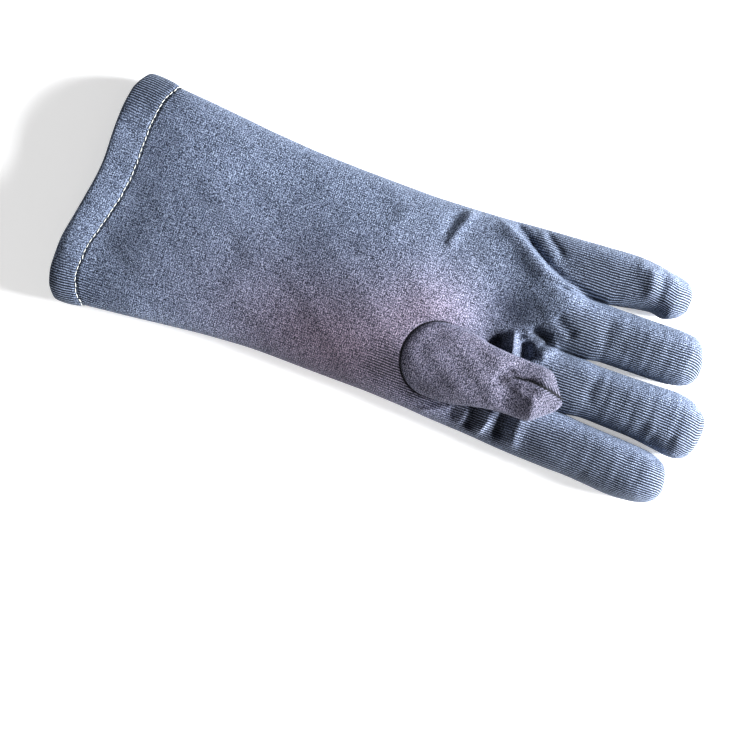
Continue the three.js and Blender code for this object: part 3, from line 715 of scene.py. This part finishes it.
def knit_material(name, deep, ground, light, warm_cast_colour):
    """Warp-knit polyester: furrow, ground and ridge colours, and the colour of the painted warm
    light cast that tints it.
    """
    m = bare_material(name)
    uv = add(m, "ShaderNodeUVMap", dict(uv_map="knit"))
    place = add(m, "ShaderNodeTexCoord").outputs["Object"]
    rib, warm, pale = (
        add(m, "ShaderNodeAttribute", dict(attribute_name=value)).outputs["Fac"]
        for value in ("rib", "warm", "pale"))

    # Wales and courses, each a wave across the flat cloth; the wales drift and bend the courses
    drift = add(m, "ShaderNodeTexNoise", dict(noise_dimensions="2D"),
                Vector=uv, Scale=0.16, Detail=2.0)
    parts = add(m, "ShaderNodeSeparateXYZ", Vector=uv)
    u = add(m, "ShaderNodeMath", product_plus, _0=drift, _1=0.6, _2=parts.outputs["X"])
    wale_turn = add(m, "ShaderNodeMath", product, _0=u, _1=2 * math.pi / rib_pitch)
    wale = add(m, "ShaderNodeMath", wave, _0=wale_turn)
    v = add(m, "ShaderNodeMath", product_plus, _0=wale, _1=0.3, _2=parts.outputs["Y"])
    course_turn = add(m, "ShaderNodeMath", product, _0=v, _1=2 * math.pi / course_pitch)
    course = add(m, "ShaderNodeMath", wave, _0=course_turn)
    wale01, course01 = (
        add(m, "ShaderNodeMath", product_plus, _0=swing, _1=0.5, _2=0.5)
        for swing in (wale, course))
    # Loose filaments: a speckle about 0.7 mm wide, coarser than real ones so that it shows.
    # Blotches about 36 mm wide, where the cloth took the dye unevenly.
    speckle = add(m, "ShaderNodeTexNoise", Vector=place, Scale=1500.0, Detail=2.0, Roughness=0.7)
    blotch = add(m, "ShaderNodeTexNoise", Vector=place, Scale=28.0, Detail=3.0)

    # Height of the cloth: wales where they show, loops and speckle everywhere, less on the wales
    rib_part = add(m, "ShaderNodeMath", product, _0=wale01, _1=rib)
    fuzz = add(m, "ShaderNodeMath", product, _0=speckle, _1=2.9)
    grain = add(m, "ShaderNodeMath", product_plus, _0=course01, _1=0.22, _2=fuzz)
    quiet = add(m, "ShaderNodeMath", product_plus, _0=rib, _1=-0.5, _2=1.0)
    height = add(m, "ShaderNodeMath", product_plus, _0=grain, _1=quiet, _2=rib_part)
    shade = add(m, "ShaderNodeMapRange",
                Value=height, From_Min=1.15, From_Max=1.95, To_Min=0.0, To_Max=1.0)
    ramp = add(m, "ShaderNodeValToRGB", Fac=shade)
    ramp.color_ramp.elements[0].color = linear(deep)
    ramp.color_ramp.elements[1].color = linear(light)
    middle = ramp.color_ramp.elements.new(0.45)
    middle.color = linear(ground)

    # Painted light: the colour is multiplied towards a purple grey where the painted warm light
    # cast falls.
    tinted = add(m, "ShaderNodeMix", dict(data_type="RGBA", blend_type="MULTIPLY"),
                 _0=warm, _6=ramp, _7=linear(warm_cast_colour))
    cloudy = add(m, "ShaderNodeMapRange",
                 Value=blotch, From_Min=0.3, From_Max=0.7, To_Min=0.92, To_Max=1.08)
    # Painted light and shade: this lightness carries the pale attribute's painted light and shade,
    # times the dye's blotches.
    lightness_and_painted_light = add(m, "ShaderNodeMath", product, _0=pale, _1=cloudy)
    colour = add(m, "ShaderNodeHueSaturation", Value=lightness_and_painted_light, Color=tinted.outputs[2])
    bump = add(m, "ShaderNodeBump", Strength=0.9, Distance=0.00035, Height=height)
    cloth = add(m, "ShaderNodeBsdfPrincipled", Base_Color=colour, Roughness=0.72,
                Sheen_Weight=0.25, Sheen_Roughness=0.45, Sheen_Tint=linear("#C9D8EE"),
                IOR=1.5, Specular_IOR_Level=0.35, Normal=bump)
    add(m, "ShaderNodeOutputMaterial", Surface=cloth)
    return m


# The last colour is the painted warm light cast, not a dye of the knit.
cover = knit_material("warp_knit_polyester", "#1B2029", "#636D82", "#AEBAD0", "#F4D0CC")

palm = sewn_panel("palm_cover", "palm", 30, 190, 60)
palm.data.materials.append(cover)
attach(palm, "root")
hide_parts("palm_panel")


# Back panel
# The same outline for the back of the hand. It lies flat on the table and turns up to the side
# seams, so only its rounded edge shows.

back = sewn_panel("back_cover", "back", 16, 110, 36)
back.data.materials.append(cover)
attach(back, "root")
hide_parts("back_panel")


# Thumb
# A knit stall over leaded sheet, closed by a short seam over its tip and set into the palm's
# oval hole with a seam that sinks into the padding. It folds over towards the fingers.

thumb_reach = 56
thumb_height = 17.5
thumb_clearance = 0.9
thumb_girth = 88
tip_ribs = 272  # where the ribs of the tip begin
# Rings from the root to the tip: where the underside and the top are along the thumb, the
# heights of both as shares of the thumb's, its sides as shares of its width, and how much the
# ring follows the rim of the hole
thumb_stations = table("under over rise lower left right hug", [
    (0.002, -0.62, 0.06, 0.02, -0.503, 0.503, 1),
    (0.015, -0.5, 0.15, 0.03, -0.505, 0.505, 0.9),
    (0.04, -0.34, 0.29, 0.04, -0.5, 0.5, 0.75),
    (0.08, -0.14, 0.47, 0.05, -0.475, 0.475, 0.5),
    (0.15, 0.08, 0.65, 0.04, -0.425, 0.435, 0.25),
    (0.28, 0.26, 0.79, 0.03, -0.4, 0.395, 0.1),
    (0.43, 0.43, 0.89, 0.02, -0.388, 0.375, 0),
    (0.58, 0.59, 0.97, 0.02, -0.378, 0.372, 0),
    (0.7, 0.725, 0.99, 0.03, -0.37, 0.365, 0),
    (0.79, 0.82, 0.92, 0.07, -0.33, 0.28, 0),
    (0.865, 0.895, 0.78, 0.14, -0.21, 0.2, 0),
    (0.935, 0.955, 0.66, 0.24, -0.1, 0.13, 0),
])
# Folds of the thumb's upper face, as the palm's
thumb_seam = [(26.9, 294), (25, 286), (24.1, 280), (23.2, 272.6), (24.2, 264), (27.5, 259.5)]
thumb_folds = [
    (thumb_seam, -1.5, 0.9),
    ([(21.5, 284), (20.5, 273), (22, 263)], 0.7, 1.8),
    ([(28.5, 286), (26.5, 275), (27.5, 265)], 0.9, 1.8),
    ([(20, 262), (24, 257), (31, 255)], -1.3, 2.6),
    ([(31, 277), (38, 278), (45, 278.5)], 1.5, 2.9),
    ([(30, 266), (36, 264), (43, 263)], -1.5, 6.0),
    ([(12, 268), (18, 262)], -0.6, 4.0),
]


def thumb_rings(sides):
    """Rings of the thumb from its rim, which follows the palm, to its tip, which is a point.
    Each is a superellipse in a plane that leans from the underside's place to the top's."""
    angle = 2 * np.pi * np.arange(sides) / sides
    centre_x, centre_y = thumb_centre
    rim_x = centre_x + thumb_root_width / 2 * np.cos(angle)
    rim_y = centre_y - thumb_root_length / 2 * np.sin(angle)
    rim_z = palm_z(rim_x, rim_y)
    hinge = centre_y + thumb_root_length / 2
    crest = palm_z(np.array(centre_x), np.array(hinge))
    across = centre_x + thumb_root_width * 0.4 * np.linspace(-1, 1, 9)
    rings = [np.stack([rim_x, rim_y, rim_z], -1)]
    stations = len(thumb_stations["under"])
    for i in range(stations):
        at = {key: column[i] for key, column in thumb_stations.items()}
        under_y = hinge + at["under"] * thumb_reach
        over_y = hinge + at["over"] * thumb_reach
        bed = palm_z(across, np.full(across.shape, under_y)).max()
        bed = mix(bed, crest, at["hug"]) + thumb_clearance
        power = mix(2, 2.5, i / (stations - 1))
        cos = np.sign(np.cos(angle)) * np.abs(np.cos(angle)) ** (2 / power)
        sin = np.sign(np.sin(angle)) * np.abs(np.sin(angle)) ** (2 / power)
        share = (1 + sin) / 2
        half = (at["right"] - at["left"]) * thumb_root_width / 2
        middle = centre_x + (at["right"] + at["left"]) * thumb_root_width / 2
        rings.append(np.stack([
            middle + half * cos,
            mix(under_y, over_y, share),
            bed + mix(at["lower"], at["rise"], share) * thumb_height + at["hug"] * (rim_z - crest),
        ], -1))
    tip_z = bed + (at["rise"] + at["lower"]) * thumb_height / 2
    tip = np.array([middle, hinge + thumb_reach, tip_z])
    rings.append(np.tile(tip, (sides, 1)))
    return np.array(rings)


def loft(rings, fine):
    """A smooth surface through a stack of rings: a Catmull-Rom curve through each point's
    places, with fine rows between two rings."""
    ends = np.concatenate([2 * rings[:1] - rings[1:2], rings, 2 * rings[-1:] - rings[-2:-1]])
    rows = []
    for k in range(len(rings) - 1):
        a, b, c, d = ends[k:k + 4]
        s = (np.arange(fine) / fine)[:, None, None]
        bend = 2 * a - 5 * b + 4 * c - d + s * (3 * (b - c) + d - a)
        rows.append(b + 0.5 * s * (c - a + s * bend))
    return np.concatenate(rows + [rings[-1:]])


def thumb_piece(sides, fine):
    """The thumb as a closed shell. Its folds are added to the faces that look up."""
    rows = loft(thumb_rings(sides), fine)
    count_rows = len(rows)
    points = rows.reshape(-1, 3)
    wrapped = grid_quads(count_rows, sides + 1)
    row, column = np.divmod(wrapped, sides + 1)
    quads = (row * sides + column % sides)[:, ::-1]
    normals = point_normals(points, quads)
    up = smooth(normals[:, 2] * 1.6 - 0.1)
    x, y = points[:, 0], points[:, 1]
    away = np.minimum(np.arange(len(points)) // sides / fine, 3)
    folds = sum(crease(x, y, *fold) for fold in thumb_folds)
    folds += ripple(x, y, (0.25, 37, 29, 0.5), (0.2, -17, 23, 2.2))
    points = points + np.stack([0 * x, 0 * x, up * folds * smooth(away / 3)], -1)
    # The rim is drawn down into the hole.
    points[:, 2] -= seam_dip(x, y) * (away < 1.5)
    foot = points[:sides] - [0, 0, wall]

    first = len(points)
    ring = np.arange(sides)
    after = (ring + 1) % sides
    skirt = np.stack([ring, after, first + after, first + ring], -1)
    quads = np.concatenate([quads, skirt])
    points = np.concatenate([points, foot])
    tip = (count_rows - 1) * sides
    quads = np.where((quads >= tip) & (quads < first), tip, quads)
    normals = point_normals(points, quads)
    level = np.concatenate([ring, first + ring])
    normals[level, 2] = 0
    inner = points - wall * unit(normals)
    shell = two_walls(quads, len(points))

    # Wales run along the thumb and meet the short seam over its tip at a slant.
    turn = column[:, ::-1] / sides
    turn -= turn[:, :1] >= 0.75
    place = points[quads[:len(wrapped)]]
    seam_x, seam_y = np.array(thumb_seam[::-1]).T
    aside = place[..., 0] - np.interp(place[..., 1], seam_y, seam_x)
    slant = 0.75 * aside + 0.66 * np.sign(aside.mean(1, keepdims=True)) * (place[..., 1] - tip_ribs)
    upper = smooth(3 * np.sin(2 * np.pi * turn)) * smooth((place[..., 1] - tip_ribs + 6) / 8)
    knit_quads = np.stack([mix(thumb_girth * (0.25 - turn), slant, upper), place[..., 1]], -1)
    corner = np.zeros((len(shell), 4, 2))
    corner[:len(wrapped)] = knit_quads
    corner[len(quads):len(quads) + len(wrapped)] = knit_quads[:, ::-1]

    # Ribs show beside the tip's seam only, both seams are dark, painted light makes the root a
    # little paler and painted shade makes the tip darker.
    both = np.concatenate([points, inner])
    x, y = points[:, 0], points[:, 1]
    rib = 0.05 + 0.6 * smooth((y - tip_ribs - 2) / 6) * crease(x, y, thumb_seam, 1, 4.0, 3.0, 0.01)
    ring_number = np.arange(len(points)) // sides
    dark = np.exp(-((ring_number / 0.9) ** 2)) + crease(x, y, thumb_seam, 1.2, 0.55, fade=0.01)
    pale = 1.14 + 0.1 * bell(x, y, (28, 212), (22, 12)) - 0.3 * smooth((y - 276) / 6)
    pale = np.maximum(pale - dark, 0.1)
    # The whole thumb gets 0.62 of the painted warm light cast.
    piece = cloth_mesh("thumb_cover", both, shell, None, corner, warm=np.full(len(both), 0.62),
                       rib=np.tile(rib, 2), pale=np.tile(pale, 2))
    return piece, points[:first]


thumb, thumb_points = thumb_piece(120, 6)
thumb.data.materials.append(cover)
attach(thumb, "root")
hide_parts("thumb")


# Cuff hem
# The cover turned under at the mouth and sewn through, one closed band half as thick again as
# the panels. The seam thread draws it down, so it swells between the thread and its free edge.

hem_wall = 3.4
hem_proud = 0.6  # how far it stands out of the panels
stitch_pitch = 3.5


def section_point(side, t, y):
    """Place on the section's outline at t and y, on the palm or the back."""
    x = middle_at(y) + t * half_at(y)
    z = np.where(side, palm_z(x, y), back_z(x, y))
    z = np.where(np.abs(t) > 0.99999, seam_at(y), z)
    return np.stack([x, y, z], -1)


def hem_loop(columns):
    """Sides and places of the loop's columns: across the palm side, then back below it."""
    last = columns * len(fingers)
    place = column_place(np.arange(last + 1), columns, 0)
    t = np.concatenate([place, place[-2:0:-1]])
    side = np.arange(len(t)) <= last
    return side, t


def hem_surface(side, t, share, out):
    """Points of the hem: share is 0 at the stitch line and 1 at the edge, out is the distance
    out of the section's outline, along its normal."""
    edge = np.where(side, edge_y("palm", t), edge_y("back", t)) + hem_wall / 2
    stitch = np.where(side, stitch_y("palm", t), stitch_y("back", t)) - seam_gap / 2
    y = mix(stitch, edge, share)
    before = section_point(np.roll(side, 1, -1), np.roll(t, 1, -1) + 0 * y, y)
    after = section_point(np.roll(side, -1, -1), np.roll(t, -1, -1) + 0 * y, y)
    along = after - before
    normal = unit(np.stack([-along[..., 2], 0 * y, along[..., 0]], -1))
    points = section_point(side, t + 0 * y, y) + normal * out[..., None]
    points[..., 2] = np.maximum(points[..., 2], 0)
    return points, normal


def hem_piece(columns):
    """The hem: its profile is carried round the cuff's loop. The profile runs from the stitch
    line along the outside, round the free edge and back along the inside."""
    side, t = hem_loop(columns)
    inside = hem_wall - hem_proud
    core = (hem_proud - inside) / 2
    run = np.linspace(0, 1, 22)
    bend = np.radians(np.linspace(90, -90, 11))[1:-1]
    share = np.concatenate([run, np.ones(len(bend)), run[::-1]])
    # It swells by 0.9 mm in its middle, and the thread draws its first millimetre or so down.
    swell = 0.9 * np.sin(np.pi * run) ** 0.6 - 0.75 * np.exp(-((run / 0.06) ** 2))
    out = np.concatenate([
        hem_proud + swell, core + hem_wall / 2 * np.sin(bend), np.full(len(run), -inside)])
    over = np.concatenate([0 * run, hem_wall / 2 * np.cos(bend), 0 * run])
    points, normal = hem_surface(side[None, :], t[None, :], share[:, None], out[:, None] + 0 * t)
    points[..., 1] -= over[:, None]
    rows, loops = points.shape[:2]
    # Every stitch puckers the hem a little beside the thread.
    length = np.concatenate([[0], np.cumsum(np.linalg.norm(np.diff(points[0], axis=0), axis=1))])
    pucker = 0.16 * np.cos(2 * np.pi * length / stitch_pitch)[None, :]
    pucker = pucker * np.exp(-share[:, None] / 0.12)
    points += normal * (pucker * (np.arange(rows) < len(run))[:, None])[..., None]
    wrapped = grid_quads(rows + 1, loops + 1)
    row, column = np.divmod(wrapped, loops + 1)
    quads = (row % rows) * loops + column % loops
    lengths = np.append(length, length[-1] + np.linalg.norm(points[0, 0] - points[0, -1]))
    profile = np.concatenate([[0], np.cumsum(np.hypot(
        np.diff(points[:, 0, 1]), np.diff(out)))])
    profile = np.append(profile, profile[-1] + hem_wall)
    corner = np.stack([lengths[column], profile[row]], -1)
    hem_points = points.reshape(-1, 3)
    rib = ribbing(hem_points)
    return cloth_mesh("cuff_hem_cover", hem_points, quads[:, ::-1], None, corner[:, ::-1],
                      warm=0 * rib, rib=rib, pale=0.9 - 0.15 * rib)


hem = hem_piece(40)
hem.data.materials.append(cover)
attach(hem, "root")
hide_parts("cuff_hem")


# Hem stitches
# A lockstitch in off-white polyester thread, 3.5 mm from stitch to stitch. It runs all the way
# round the hem, through every layer, and is pulled tight enough to draw the cloth down.

thread_radius = 0.29
stitch_length = 2.9


def thread_bars(name, centres, tangents, normals, length, radius):
    """Short round bars with tapered ends, one at each centre along its tangent, made as one
    mesh from a single bar's grid: rings along the bar whose radius is a blunt ellipse's."""
    steps = np.linspace(-1, 1, 7)
    rings = np.sqrt(1 - (steps * 0.985) ** 2) ** 0.7
    angle = 2 * np.pi * np.arange(6) / 6
    bar = np.stack([
        np.repeat(steps, 6) / 2, np.outer(rings, np.cos(angle)).ravel(),
        np.outer(rings, np.sin(angle)).ravel()], -1)
    wrapped = grid_quads(len(steps), 7)
    row, column = np.divmod(wrapped, 7)
    quads = row * 6 + column % 6
    caps = [[0, 1, 2, 3], [0, 3, 4, 5]]
    far = (len(steps) - 1) * 6
    ends = [[b + far for b in cap[::-1]] for cap in caps]
    quads = np.concatenate([quads[:, ::-1], caps, ends])
    tangents = unit(tangents)
    across = unit(np.cross(normals, tangents))
    lift = np.cross(tangents, across)
    size = np.broadcast_to(np.asarray(length, float), len(centres))
    points = (
        centres[:, None] + bar[None, :, :1] * (tangents * size[:, None])[:, None]
        + radius * bar[None, :, 1:2] * across[:, None] + radius * bar[None, :, 2:] * lift[:, None])
    faces = quads[None] + (np.arange(len(centres)) * len(bar))[:, None, None]
    mesh = bpy.data.meshes.new(name)
    points = (points.reshape(-1, 3) + origin) / 1000
    mesh.from_pydata(points.tolist(), [], faces.reshape(-1, 4).tolist())
    mesh.shade_smooth()
    return put(bpy.data.objects.new(name, mesh))


def stitched_line(path, normal, pitch):
    """Centres, tangents and normals at even steps along a path of points."""
    step = np.linalg.norm(np.diff(path, axis=0), axis=1)
    length = np.concatenate([[0], np.cumsum(step)])
    places = np.arange(pitch / 2, length[-1], pitch)
    look = 0.8  # how far ahead and behind the direction is taken
    centres, ahead, behind, normals = (
        np.stack([np.interp(at, length, values[:, k]) for k in range(3)], -1)
        for at, values in (
            (places, path), (places + look, path), (places - look, path), (places, normal)))
    return centres, ahead - behind, normals


def sewing_thread(name, colour, rough):
    """Spun polyester thread: two plies twisted together, matt, with a fine diagonal twist."""
    m = bare_material(name)
    place = add(m, "ShaderNodeTexCoord").outputs["Object"]
    twist = add(m, "ShaderNodeTexWave", dict(bands_direction="DIAGONAL"),
                Vector=place, Scale=900.0, Distortion=1.5).outputs["Fac"]
    tone = add(m, "ShaderNodeMapRange", Value=twist, To_Min=0.82, To_Max=1.05)
    dyed = add(m, "ShaderNodeHueSaturation", Value=tone, Color=linear(colour))
    bump = add(m, "ShaderNodeBump", Strength=0.5, Distance=0.0001, Height=twist)
    cloth = add(m, "ShaderNodeBsdfPrincipled", Base_Color=dyed, Roughness=rough,
                Sheen_Weight=0.2, Normal=bump)
    add(m, "ShaderNodeOutputMaterial", Surface=cloth)
    return m


white_thread = sewing_thread("white_polyester_thread", "#E6E8E2", 0.6)

thread_lift = 0.35  # of the thread's middle over the cover
side, t = hem_loop(60)
line, line_normal = (
    np.concatenate([row[0], row[0, :1]])
    for row in hem_surface(side[None], t[None], np.zeros((1, 1)), thread_lift + 0 * t[None]))
centres, tangents, normals = stitched_line(line, line_normal, stitch_pitch)
# Hand-guided stitches stray a little, mostly along the glove.
sway = np.random.default_rng(7).normal(0, 0.16, centres.shape) * [0.4, 1, 0.4]
hem_stitches = thread_bars("hem_stitches", centres + sway, tangents + sway, normals,
                           stitch_length, thread_radius)
hem_stitches.data.materials.append(white_thread)
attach(hem_stitches, "root")


# Thumb stitches
# The thumb is set into its hole and closed over its tip by overcast stitches in slate thread,
# which show as short slanting strokes in the seams.


def top_of(points, x, y):
    """Height of a surface at places x and y: the highest of its points that are near."""
    away = np.hypot(points[:, 0] - x[:, None], points[:, 1] - y[:, None])
    return np.where(away < 1.2, points[:, 2], -np.inf).max(1)


slate_thread = sewing_thread("slate_polyester_thread", "#0D0F15", 0.9)
rim_pitch = 1.5
tip_pitch = 1.7
overcast_length = 1.5
overcast_radius = 0.24
overcast_slant = 0.6  # how far across the seam a stitch goes, as a share of its way along

round_rim = np.radians(np.linspace(-5, 185, 90))
rim_x = thumb_centre[0] + (thumb_root_width / 2 + 0.1) * np.cos(round_rim)
rim_y = thumb_centre[1] - (thumb_root_length / 2 + 0.1) * np.sin(round_rim)
rim_path = np.stack([rim_x, rim_y, palm_z(rim_x, rim_y) - 0.2], -1)
seam_path = np.array([[x, y, 0] for x, y in thumb_seam[:-1]], float)
seam_share = np.linspace(0, len(seam_path) - 1, 60)
seam_path = np.stack(
    [np.interp(seam_share, np.arange(len(seam_path)), seam_path[:, k]) for k in range(3)], -1)
seam_path[:, 2] = top_of(thumb_points, seam_path[:, 0], seam_path[:, 1]) + 0.15
upwards = np.tile([0.0, 0.0, 1.0], (90, 1))
rim_centres, rim_along, rim_up = stitched_line(rim_path, upwards, rim_pitch)
tip_centres, tip_along, tip_up = stitched_line(seam_path, upwards[:60], tip_pitch)
along = np.concatenate([rim_along, tip_along])
up = np.concatenate([rim_up, tip_up])
across = np.cross(up, along)
thumb_stitches = thread_bars(
    "thumb_stitches", np.concatenate([rim_centres, tip_centres]),
    along + overcast_slant * across, up, overcast_length, overcast_radius)
thumb_stitches.data.materials.append(slate_thread)
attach(thumb_stitches, "root")


# Table, light and camera
# A pale tabletop, one soft light from the fingertips' side and a little from the little
# finger's, two weak ones that fill its shadows, and the camera straight above, turned so that
# the fingers point right and a little down.

mm_per_pixel = 0.5846
photo_pixels = 750
photo_turn = math.radians(19.5)
camera_height = 780
view_centre = np.array([49.2, 189.5, 0])  # below the photo's middle, in the glove's own frame
outline_height = seam_height  # where the photo's scale holds

table_mesh = bpy.data.meshes.new("table")
half_table = 3.0
corners = ((-1, -1), (1, -1), (1, 1), (-1, 1))
table_mesh.from_pydata(
    [(x * half_table, y * half_table, -0.0002) for x, y in corners], [], [(0, 1, 2, 3)])
tabletop = put(bpy.data.objects.new("table", table_mesh))
# White laminate: flat and matt. It glows a little, so that it comes out white all over.
laminate = bare_material("white_laminate")
surface = add(laminate, "ShaderNodeBsdfPrincipled", Base_Color=linear("#F2F2F2"), Roughness=0.9,
              Specular_IOR_Level=0.1, Emission_Color=linear("#FFFFFF"), Emission_Strength=0.3)
add(laminate, "ShaderNodeOutputMaterial", Surface=surface)
table_mesh.materials.append(laminate)


def soft_light(name, towards, distance, size, power, colour):
    """A square area light that faces the glove from a direction in the room."""
    data = bpy.data.lights.new(name, "AREA")
    data.shape = "SQUARE"
    data.size = size
    data.energy = power
    data.color = linear(colour)[:3]
    lamp = bpy.data.objects.new(name, data)
    direction = np.array(towards, float)
    direction /= np.linalg.norm(direction)
    lamp.location = direction * distance
    lamp.rotation_mode = "QUATERNION"
    lamp.rotation_quaternion = Vector(direction).to_track_quat("Z", "Y")
    return put(lamp)


soft_light("window", (-0.23, 0.96, 0.42), 1.7, 0.55, 82, "#FCFDFF")
soft_light("ceiling", (0.5, -0.3, 1.4), 2.2, 1.6, 7, "#FFFDFA")
soft_light("far_wall", (1.3, -0.2, 0.5), 2.2, 1.2, 7, "#FFFDFA")

world = bpy.data.worlds.new("room")
bpy.context.scene.world = world
world.use_nodes = True
background = world.node_tree.nodes["Background"]
background.inputs["Color"].default_value = linear("#E4E6EA")
background.inputs["Strength"].default_value = 0.13
bpy.context.scene.view_settings.view_transform = "Standard"
bpy.context.scene.view_settings.look = "High Contrast"

camera_data = bpy.data.cameras.new("camera")
frame_width = photo_pixels * mm_per_pixel
camera_data.sensor_width = 36
camera_data.lens = camera_data.sensor_width * (camera_height - outline_height) / frame_width
camera_data.clip_end = 20
camera = put(bpy.data.objects.new("camera", camera_data))
middle_x, middle_y, _ = (view_centre + origin) / 1000
camera.location = (middle_x, middle_y, camera_height / 1000)
right = (-math.sin(photo_turn), math.cos(photo_turn))
camera.rotation_euler = (0, 0, math.atan2(right[1], right[0]))
bpy.context.scene.camera = camera
